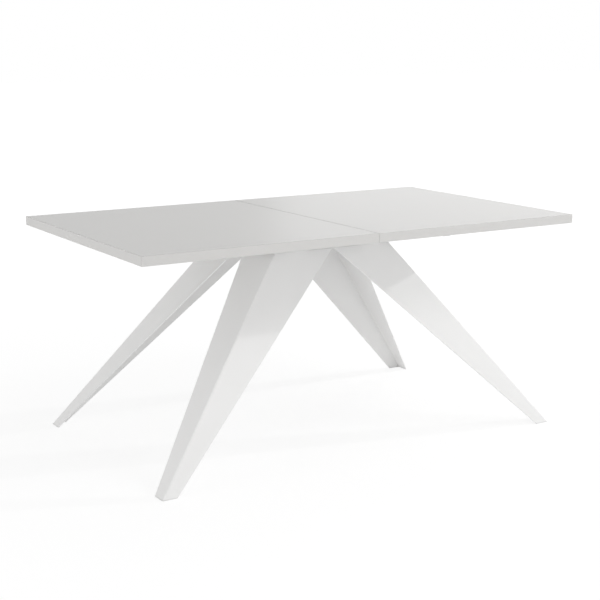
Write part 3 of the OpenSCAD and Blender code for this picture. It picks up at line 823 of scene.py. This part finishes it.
class TABLE_OT_bolts(PieceOperator, bpy.types.Operator):
    """Make the hexagon bolts of the legs and dress their nuts"""
    bl_idname = "table.bolts"
    bl_label = "Leg Bolts"

    def build(self, sizes):
        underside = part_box("head_plate_back_right")[0].z
        shape = bmesh.new()
        for low, high in islands("leg_bolts"):
            seat = Vector(((low.x + high.x) / 2, (low.y + high.y) / 2, underside))
            hex_bolt(shape, seat, (0, 0, -1), (high.x - low.x) / 2, underside - low.z,
                     sizes.bolt_shank, high.z - underside)
        piece("leg_bolts_turned", shape, "base", "zinc_plate", "leg_bolts")
        carried("leg_nuts")


class TABLE_OT_frame_rails(PieceOperator, bpy.types.Operator):
    """Make the welded frame of steel tubes"""
    bl_idname = "table.frame_rails"
    bl_label = "Frame Rails"

    def build(self, sizes):
        for node in ("cross_rail_left", "cross_rail_right", "end_rail_left", "end_rail_right",
                     "side_rail_front", "side_rail_back"):
            softened(node, sizes.tube_round, 3, self.long_edge)
        self.welds(sizes)

    def long_edge(self, edge):
        """Whether an edge runs the length of a tube."""
        return edge.calc_length() > RAIL_EDGE

    def welds(self, sizes):
        """Short fillets in the corners where the side rails lie on the cross and end rails."""
        side_low, side_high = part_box("side_rail_back")
        ends = (side_low.y + sizes.tube_round, side_high.y - sizes.tube_round)
        cross = [abs(corner.x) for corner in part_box("cross_rail_right")]
        end = [abs(corner.x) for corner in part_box("end_rail_right")]
        shape = bmesh.new()
        for x, away in ((min(cross), -1), (max(cross), 1), (min(end), -1)):
            for side in (Vector((a, b)) for a in (-1, 1) for b in (-1, 1)):
                weld_bead(shape, Vector((x, ends[0], side_low.z)), Vector((x, ends[1], side_low.z)),
                          Vector((away, 0, 0)), side, sizes)
        piece("frame_welds", shape, "base", "white_frame_paint")


class TABLE_OT_leaf_track(PieceOperator, bpy.types.Operator):
    """Make the guides, felt strips and stop that hold the stored leaf"""
    bl_idname = "table.leaf_track"
    bl_label = "Leaf Track"

    def build(self, sizes):
        softened("leaf_guide_front", sizes.nylon_round)
        softened("leaf_guide_back", sizes.nylon_round)
        softened("felt_strips", sizes.felt_round)
        softened("leaf_stop", sizes.zinc_round)


class TABLE_OT_runners(PieceOperator, bpy.types.Operator):
    """Dress the ball runners and make their screws and buffers"""
    bl_idname = "table.runners"
    bl_label = "Ball Runners"

    def build(self, sizes):
        moving = [f"{kind}_{quarter}" for kind in ("slider", "cage") for quarter in QUARTERS]
        carried("channel_front", "channel_back", "balls_left", "balls_right", *moving)
        softened("end_buffers", sizes.rubber_round)
        head_h = sizes.channel_head
        shape = bmesh.new()
        for low, high in islands("channel_screws"):
            outward = math.copysign(1, low.y)
            outer = max(abs(low.y), abs(high.y))
            inner = min(abs(low.y), abs(high.y))
            seat = Vector(((low.x + high.x) / 2, outward * (outer - head_h), (low.z + high.z) / 2))
            pan_head_screw(shape, seat, (0, outward, 0), (high.x - low.x) / 2, head_h,
                           outer - head_h - inner)
        piece("channel_screws_cross", shape, "base", "zinc_plate", "channel_screws")


class TABLE_OT_brackets(PieceOperator, bpy.types.Operator):
    """Make the angle brackets that carry the halves on the sliders"""
    bl_idname = "table.brackets"
    bl_label = "Angle Brackets"

    def build(self, sizes):
        for quarter in QUARTERS:
            softened("bracket_" + quarter, sizes.zinc_round)


class TABLE_OT_wood_screws(PieceOperator, bpy.types.Operator):
    """Make the wood screws under the top"""
    bl_idname = "table.wood_screws"
    bl_label = "Wood Screws"

    def build(self, sizes):
        head_h = sizes.wood_head
        for node, body in (("left_screws", "left_half"), ("right_screws", "right_half")):
            shape = bmesh.new()
            for low, high in islands(node):
                seat = Vector(((low.x + high.x) / 2, (low.y + high.y) / 2, low.z + head_h))
                pan_head_screw(shape, seat, (0, 0, -1), (high.x - low.x) / 2, head_h,
                               high.z - seat.z)
            piece(node + "_cross", shape, body, "zinc_plate", node)


class TABLE_OT_latches(PieceOperator, bpy.types.Operator):
    """Make the latches that lock the halves together"""
    bl_idname = "table.latches"
    bl_label = "Latches"

    def build(self, sizes):
        for node in ("latch_plates", "latch_pivots", "latch_keepers"):
            softened(node, sizes.zinc_round)
        softened("latch_lever_front", sizes.lever_round)
        softened("latch_lever_back", sizes.lever_round)


# ---------- Operator: studio ----------

class TABLE_OT_studio(bpy.types.Operator):
    """Make the floor, the lamps and the camera"""
    bl_idname = "table.studio"
    bl_label = "Studio"
    bl_options = {"REGISTER", "UNDO"}

    def execute(self, context):
        studio = context.scene.studio_sizes
        self.floor(studio)
        self.world(context.scene, studio)
        self.lamps(studio)
        self.camera(context.scene, studio)
        context.scene.view_settings.view_transform = "Standard"
        return {"FINISHED"}

    def seen(self, finish):
        """1 for rays that show the background, straight or in a reflection."""
        straight, mirrored, through = (
            finish.node("ShaderNodeLightPath", output=name)
            for name in ("Is Camera Ray", "Is Glossy Ray", "Is Transmission Ray"))
        return (straight + mirrored + through).at_most(1)

    def floor(self, studio):
        """White floor with a faint shadow round the table, and clear from below."""
        shape = bmesh.new()
        bmesh.ops.create_grid(shape, x_segments=1, y_segments=1, size=studio.floor_size / 2)
        mesh = bpy.data.meshes.new("studio_floor")
        shape.to_mesh(mesh)
        shape.free()
        floor = bpy.data.objects.new("studio_floor", mesh)
        bpy.context.scene.collection.objects.link(floor)
        finish = Finish(bpy.data.materials.new("floor_finish"))
        away = finish.node("ShaderNodeVectorMath", {"operation": "LENGTH"}, {0: finish.place()}, 1)
        own = (1 - away * (1 / studio.shade_reach)).at_least(0) * studio.floor_shade
        plain = self.seen(finish) * (1 - own)
        matt = finish.node("ShaderNodeBsdfDiffuse", None, {
            "Color": solid((studio.floor_white, studio.floor_white, studio.floor_white))})
        # The lit floor at this distance comes out white once both parts are mixed.
        white_from = 1.6
        beside = (1 - white_from / studio.shade_reach) * studio.floor_shade
        strength = (1 - beside * studio.floor_level) / (1 - beside)
        white = finish.node("ShaderNodeEmission", None, {"Color": (1, 1, 1, 1), "Strength": strength})
        above = finish.node("ShaderNodeMixShader", None, {0: plain, 1: matt, 2: white})
        underside = finish.node("ShaderNodeNewGeometry", output="Backfacing")
        clear = finish.node("ShaderNodeBsdfTransparent")
        whole = finish.node("ShaderNodeMixShader", None, {0: underside, 1: above, 2: clear})
        finish.node("ShaderNodeOutputMaterial", None, {"Surface": whole})
        mesh.materials.append(finish.owner)

    def world(self, scene, studio):
        """Even light from all round, which shows as plain white."""
        scene.world = bpy.data.worlds.new("studio_world")
        finish = Finish(scene.world)
        seen = self.seen(finish)
        level = seen * (1 - studio.sky) + studio.sky
        light = finish.node("ShaderNodeBackground", None, {"Color": (1, 1, 1, 1), "Strength": level})
        finish.node("ShaderNodeOutputWorld", None, {"Surface": light})

    def lamps(self, studio):
        """A small round lamp on the right, soft panels on all sides and one that the top reflects."""
        self.lamp(studio, "key", "key_lamp").data.shape = "DISK"
        for panel in ("high", "left", "front", "low", "right"):
            self.lamp(studio, panel, panel + "_panel_lamp")
        self.lamp(studio, "gleam", "gleam_panel_lamp").visible_glossy = True

    def lamp(self, studio, setting, name):
        """A lamp that faces the table and shows in no gloss, as wide and strong as it is set."""
        data = bpy.data.lights.new(name, "AREA")
        data.size = getattr(studio, setting + "_size")
        data.energy = getattr(studio, setting + "_power")
        lamp = bpy.data.objects.new(name, data)
        lamp.location = getattr(studio, setting + "_place")
        aim = Vector((0, 0, studio.aim_height)) - lamp.location
        lamp.rotation_euler = aim.to_track_quat("-Z", "Y").to_euler()
        lamp.visible_camera = False
        lamp.visible_glossy = False
        bpy.context.scene.collection.objects.link(lamp)
        return lamp

    def camera(self, scene, studio):
        """A camera that is held level, turned by its heading and tilted down."""
        data = bpy.data.cameras.new("studio_camera")
        data.sensor_width = 36
        data.lens = studio.lens
        camera = bpy.data.objects.new("studio_camera", data)
        camera.location = studio.camera_place
        camera.rotation_euler = (math.pi / 2 - studio.tilt, 0, -studio.heading)
        scene.collection.objects.link(camera)
        scene.camera = camera


# ---------- Panel and registration ----------

OPERATORS = (
    TABLE_OT_top, TABLE_OT_dowels, TABLE_OT_legs, TABLE_OT_glides,
    TABLE_OT_bolts, TABLE_OT_frame_rails, TABLE_OT_leaf_track, TABLE_OT_runners,
    TABLE_OT_brackets, TABLE_OT_wood_screws, TABLE_OT_latches, TABLE_OT_studio,
)


class TABLE_PT_panel(bpy.types.Panel):
    """Sizes, colours and pieces of the table"""
    bl_idname = "TABLE_PT_panel"
    bl_label = "Extendable Table"
    bl_space_type = "VIEW_3D"
    bl_region_type = "UI"
    bl_category = "Table"

    def draw(self, context):
        layout = self.layout
        for operator in OPERATORS:
            layout.operator(operator.bl_idname)
        for group in (context.scene.table_sizes, context.scene.table_colours,
                      context.scene.studio_sizes):
            box = layout.box()
            for name in group.bl_rna.properties.keys():
                if name not in ("rna_type", "name"):
                    box.prop(group, name)


GROUPS = {
    "table_sizes": TableSizes,
    "table_colours": TableColours,
    "studio_sizes": StudioSizes,
}


def register():
    for group in GROUPS.values():
        bpy.utils.register_class(group)
    for operator in OPERATORS:
        bpy.utils.register_class(operator)
    bpy.utils.register_class(TABLE_PT_panel)
    for name, group in GROUPS.items():
        setattr(bpy.types.Scene, name, bpy.props.PointerProperty(type=group))


def unregister():
    for name in GROUPS:
        delattr(bpy.types.Scene, name)
    bpy.utils.unregister_class(TABLE_PT_panel)
    for operator in reversed(OPERATORS):
        bpy.utils.unregister_class(operator)
    for group in reversed(GROUPS.values()):
        bpy.utils.unregister_class(group)


def main():
    register()
    remember_slots()
    for operator in OPERATORS:
        group, name = operator.bl_idname.split(".")
        getattr(getattr(bpy.ops, group), name)()


if __name__ == "__main__":
    main()
